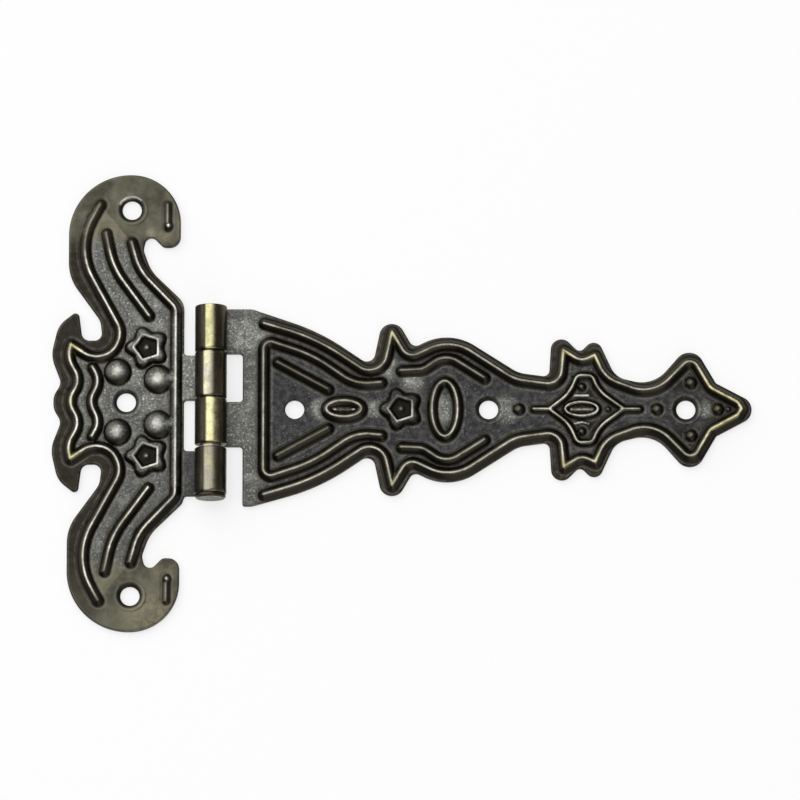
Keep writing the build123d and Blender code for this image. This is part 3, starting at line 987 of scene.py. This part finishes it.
def bronze(name, roll_highlight, rubbed_and_glint_crest):
    """Antique bronze: black in the creases, rubbed bright on the crests, speckled on the flats,
    with painted shade and, on the barrel, a painted highlight band.
    """
    nodes = Nodes(name)
    mix, span, times = nodes.mix, nodes.span, nodes.times
    crest, dark, lip, roll = nodes.attribute("masks")
    margin, head, pale, black = nodes.attribute("zones")
    slope, brassy, lean, top = nodes.attribute("tints")
    pit, shade = nodes.attribute("pits_and_painted_shade")[:2]
    speck = nodes.noise(*SPECK)
    cloud = nodes.noise(*CLOUD)
    fine = nodes.noise(*FINE)

    flat = mix(span(fine, *FLAT_GRAIN), FLAT_DARK, FLAT_LIGHT)
    flat = mix(times(span(speck, *FLAT_FLECK), span(cloud, *FLAT_CLOUD)), flat, FLAT_PALE)
    flat = mix(times(pale, span(speck, *PALE_FLECK)), flat, FLAT_PALE)
    patch = span(nodes.noise(*PATCHES), *PATCH_SPAN)
    flat = mix(times(times(pale, patch), PATCH_SHARE), flat, PATCH)
    flat = mix(times(pale, span(speck, *SPARKLE_FLECK)), flat, SPARKLE)
    patina = mix(span(fine, *MARGIN_GRAIN), MARGIN_DARK, MARGIN_LIGHT)
    brow = mix(span(cloud, *HEAD_CLOUD), HEAD_DARK, HEAD_LIGHT)
    brow = mix(times(pale, span(fine, *HEAD_GRAIN)), brow, HEAD_PALE)

    base = mix(margin, flat, patina)
    base = mix(head, base, brow)
    base = mix(times(black, BLACK_SHARE), base, BLACK)
    base = mix(times(lip, span(fine, *LIP_GRAIN)), base, LIP)
    base = mix(times(slope, SLOPE_SHARE), base, SLOPE)
    base = mix(times(top, span(fine, *TOP_GRAIN)), base, OLIVE)
    base = mix(times(dark, DARK_SHARE), base, FOOT)
    # Painted shade on the slopes that face -Y
    base = mix(times(shade, SHADE_SHARE), base, FOOT)
    base = mix(times(pit, PIT_SHARE), base, PIT)
    # Crests rubbed bright, and on the jamb the painted highlight arc over the upper hole
    rub_and_glint = times(times(crest, span(fine, *WEAR_GRAIN)), span(cloud, *WEAR_CLOUD))
    base = mix(rub_and_glint, base, mix(brassy, rubbed_and_glint_crest, BRASS))

    # The barrel: painted shade on its side away from the strap, and a painted highlight band near
    # its top
    streak = nodes.noise(*STREAK)
    barrel = mix(span(streak, *ROLL_STREAK), ROLL_DARK, ROLL_BROWN)
    barrel = mix(span(lean, *ROLL_SHADE), barrel, FOOT)
    band = times(span(lean, BAND_START - BAND_RISE, BAND_START),
                 span(lean, BAND_END, BAND_END + BAND_FALL, 1.0, 0.0))
    band = times(band, times(top, span(streak, *BAND_STREAK)))
    band = times(times(band, span(fine, *BAND_GRAIN)), span(speck, *BAND_FLECK))
    barrel = mix(band, barrel, mix(span(cloud, *GILT_CLOUD), roll_highlight, BRASS))

    gloss = times(nodes.math("MAXIMUM", slope, roll), GLOSS)
    roughness = nodes.math("SUBTRACT", span(fine, *ROUGHNESS), gloss)
    nodes.metal(mix(roll, base, barrel), roughness)
    nodes.bump(speck, *SPECK_BUMP)
    return nodes.material


def worn_pin():
    """The pin's plating, rubbed bright in the knuckles and dull on the head."""
    nodes = Nodes("worn_pin_finish")
    streak = nodes.noise(*PIN_STREAK)
    fine = nodes.noise(*PIN_FINE)
    shaft = nodes.mix(nodes.span(streak, *PIN_GRAIN), PIN_DARK, PIN_BRIGHT)
    split = nodes.tree.nodes.new("ShaderNodeSeparateXYZ")
    nodes.link(nodes.coords, split.inputs["Vector"])
    head = nodes.span(split.outputs["Y"], PIN_HEAD_TOP * MM, (PIN_HEAD_TOP - PIN_HEAD_BLEND) * MM)
    nodes.metal(nodes.mix(head, shaft, SLOPE), nodes.span(fine, *PIN_ROUGHNESS))
    nodes.bump(fine, *PIN_BUMP)
    return nodes.material


strap = leaf("strap_sheet", Sheet(strap_outline(), strap_holes, strap_relief, -1), strap_zones,
             shift=STRAP_DROP, lower_top=THIRD_TOP + STRAP_DROP, turns=(0.12, 0.35), lower_highlight=1.0)
jamb = leaf("jamb_sheet", Sheet(jamb_outline(), jamb_holes, jamb_relief, 1), jamb_zones,
            shift=0, lower_top=FOURTH_TOP, turns=(0, 0.22), lower_highlight=0.53)
strap.data.materials.append(bronze("strap_bronze", STRAP_ROLL_HIGHLIGHT, STRAP_RUBBED_CREST))
jamb.data.materials.append(bronze("jamb_bronze", JAMB_ROLL_HIGHLIGHT, JAMB_RUBBED_AND_GLINT_CREST))
for piece, body, node in ((strap, "strap", "strap"), (jamb, "jamb", "jamb_plate")):
    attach(piece, body)
    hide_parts(node)
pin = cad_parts["hinge_pin"]
pin.data.materials.clear()
pin.data.materials.append(worn_pin())

# Stage, light and camera, in metres
FLOOR_HALF = 1.5
FLOOR_LEVEL = -0.0002
FLOOR_CORNERS = ((-1, -1), (1, -1), (1, 1), (-1, 1))
FLOOR_WHITE = (0.98, 0.98, 0.98, 1)
# The share of the floor that is white to the camera and to the metal. The rest shows the shadow.
FLOOR_GLOW = 0.7
WORLD_STRENGTH = 0.24
LIGHT_TARGET = (0.04, 0, 0)
TARGET = Vector((40.635, 0.44, 1.2)) * MM
DISTANCE = 2.0
TILT = math.radians(12)
PHOTO_PIXELS = 800
PIXEL = 0.215
VIEW_WIDTH = PHOTO_PIXELS * PIXEL * MM
SENSOR = 36
CLIP_START = 0.01


def floor_paper():
    """White paper that keeps a soft shadow."""
    material = bpy.data.materials.new("floor_paper")
    material.use_nodes = True
    nodes, links = material.node_tree.nodes, material.node_tree.links
    paper = nodes["Principled BSDF"]
    paper.inputs["Base Color"].default_value = FLOOR_WHITE
    paper.inputs["Roughness"].default_value = 1.0
    paper.inputs["Specular IOR Level"].default_value = 0.0
    glow = nodes.new("ShaderNodeEmission")
    glow.inputs["Strength"].default_value = 1.0
    seen = nodes.new("ShaderNodeLightPath")
    share = None
    for ray in ("Is Camera Ray", "Is Glossy Ray", "Is Transmission Ray"):
        scaled = nodes.new("ShaderNodeMath")
        scaled.operation = "MULTIPLY_ADD"
        scaled.use_clamp = True
        scaled.inputs[1].default_value = FLOOR_GLOW
        scaled.inputs[2].default_value = 0.0
        links.new(seen.outputs[ray], scaled.inputs[0])
        if share:
            links.new(share, scaled.inputs[2])
        share = scaled.outputs["Value"]
    blend = nodes.new("ShaderNodeMixShader")
    links.new(share, blend.inputs["Fac"])
    links.new(paper.outputs["BSDF"], blend.inputs[1])
    links.new(glow.outputs["Emission"], blend.inputs[2])
    links.new(blend.outputs["Shader"], nodes["Material Output"].inputs["Surface"])
    return material


def area_light(name, place, size, power):
    lamp = bpy.data.lights.new(name, "AREA")
    lamp.shape = "SQUARE"
    lamp.size = size
    lamp.energy = power
    holder = new_object(name, lamp)
    holder.location = place
    aim = Vector(LIGHT_TARGET) - Vector(place)
    holder.rotation_euler = aim.to_track_quat("-Z", "Y").to_euler()


floor_mesh = bpy.data.meshes.new("floor")
floor_corners = [(x * FLOOR_HALF, y * FLOOR_HALF, FLOOR_LEVEL) for x, y in FLOOR_CORNERS]
floor_mesh.from_pydata(floor_corners, [], [(0, 1, 2, 3)])
floor_mesh.materials.append(floor_paper())
floor = new_object("floor", floor_mesh)

world = bpy.data.worlds.new("studio")
world.use_nodes = True
background = world.node_tree.nodes["Background"]
background.inputs["Color"].default_value = (1, 1, 1, 1)
background.inputs["Strength"].default_value = WORLD_STRENGTH
bpy.context.scene.world = world

area_light("key", (-0.75, 0.75, 1.5), size=3.2, power=52.0)
area_light("fill", (0.6, -1.5, 0.9), size=1.6, power=9.0)

lens = bpy.data.cameras.new("camera")
lens.sensor_width = SENSOR
lens.lens = SENSOR * DISTANCE / VIEW_WIDTH
lens.clip_start = CLIP_START
camera = new_object("camera", lens)
camera.location = TARGET + DISTANCE * Vector((0, -math.sin(TILT), math.cos(TILT)))
camera.rotation_euler = (TILT, 0, 0)
bpy.context.scene.camera = camera
bpy.context.scene.view_settings.view_transform = "Standard"
